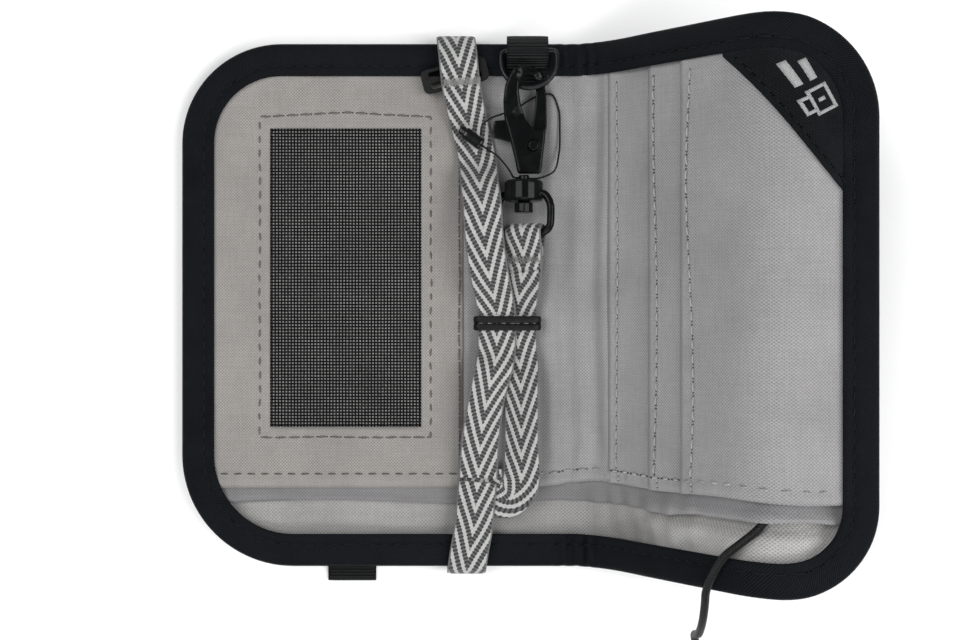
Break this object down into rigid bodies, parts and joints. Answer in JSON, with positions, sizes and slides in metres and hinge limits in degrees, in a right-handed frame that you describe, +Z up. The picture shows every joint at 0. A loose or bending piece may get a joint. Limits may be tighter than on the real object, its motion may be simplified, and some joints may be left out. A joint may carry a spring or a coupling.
{
  "type": "bi-fold travel wallet",
  "caption": "Open bi-fold travel wallet: net ID window, three card slots, note pockets, D-ring with swivel snap hook and a herringbone wrist strap wrapped round it",
  "frame": {"origin": "bottom centre of the bounding box of the open wallet, its strap and its clip, without the loose cord, its coil and the tag loop; z = 0 is the surface the wallet lies on", "axes": "+X runs across the open wallet from the window half to the card half, +Y up the page towards the D-ring, +Z up off the table"},
  "size_m": [0.1695, 0.1966, 0.0421],
  "materials": {
    "shell_nylon": "black-navy nylon, matte",
    "shield_foil": "thin foil",
    "lining_nylon": "light grey woven nylon",
    "divider_nylon": "grey woven nylon, hemmed",
    "panel_nylon": "warm grey woven nylon",
    "card_panel_nylon": "cool grey woven nylon",
    "window_net": "black knitted net",
    "binding_twill": "near-black twill tape, stitched",
    "black_webbing": "black ribbed webbing",
    "label_fabric": null,
    "strap_webbing": "black, white and grey herringbone webbing",
    "black_plated_wire": "black plated wire, satin",
    "black_hook": "black enamel, glossy",
    "black_rubber": "matte black rubber",
    "black_plastic": "glossy black",
    "black_cord": "black round braided cord"
  },
  "bodies": {
    "left_half": {"back_shell_left": "shell_nylon", "shield_foil_left": "shield_foil", "lining_left": "lining_nylon", "cash_divider_left": "divider_nylon", "id_pocket_panel": "panel_nylon", "spine_panel": "panel_nylon", "id_window_mesh": "window_net", "binding_left": "binding_twill", "ring_tab": "black_webbing", "pull_tab": "black_webbing", "strap_wrap": "strap_webbing", "strap_front": "strap_webbing", "strap_run": "strap_webbing", "strap_fold": "strap_webbing", "tether_end": "black_rubber", "tag_seal": "black_plastic", "tag_string": "black_plastic", "tether_cord_drop": "black_cord", "tether_coil": "black_cord"},
    "right_half": {"back_shell_right": "shell_nylon", "shield_foil_right": "shield_foil", "lining_right": "lining_nylon", "cash_divider_right": "divider_nylon", "card_back_panel": "card_panel_nylon", "card_slot_rear": "card_panel_nylon", "card_slot_middle": "card_panel_nylon", "card_slot_front": "card_panel_nylon", "corner_label": "label_fabric", "binding_right": "binding_twill", "tether_cord_pocket": "black_cord"},
    "clip": {"d_ring": "black_plated_wire", "snap_hook_frame": "black_hook", "gate_rivet": "black_hook", "gate_spring": "black_plated_wire", "swivel_stud": "black_hook"},
    "gate": {"hook_gate": "black_hook"},
    "eye": {"swivel_eye": "black_hook", "strap_end_loop": "strap_webbing"},
    "keeper": {"strap_keeper": "black_rubber"},
    "slider": {"strap_slider": "black_rubber"}
  },
  "joints": [
    {"name": "fold", "type": "hinge", "parent": "left_half", "child": "right_half", "pos_m": [0.01765, 0.00057, 0.0057], "axis": [0, -1, 0], "range_deg": [-18, 100]},
    {"name": "ring_swing", "type": "hinge", "parent": "left_half", "child": "clip", "pos_m": [0.00555, 0.06597, 0.0079], "axis": [0.995, 0, 0.0995], "range_deg": [-2, 0]},
    {"name": "gate_open", "type": "hinge", "parent": "clip", "child": "gate", "pos_m": [0.00655, 0.04117, 0.0075], "axis": [0, 0, 1], "range_deg": [0, 12], "stiffness_Nm_per_rad": 0.002, "springref_deg": -11.46},
    {"name": "eye_swivel", "type": "hinge", "parent": "clip", "child": "eye", "pos_m": [0.00415, 0.02657, 0.0099], "axis": [0, 1, 0], "range_deg": [-3, 3]},
    {"name": "keeper_slide", "type": "slide", "parent": "left_half", "child": "keeper", "axis": [0, -1, 0], "range_m": [0, 0.005]},
    {"name": "slider_slide", "type": "slide", "parent": "left_half", "child": "slider", "axis": [0, -1, 0], "range_m": [0, 0.002]}
  ]
}
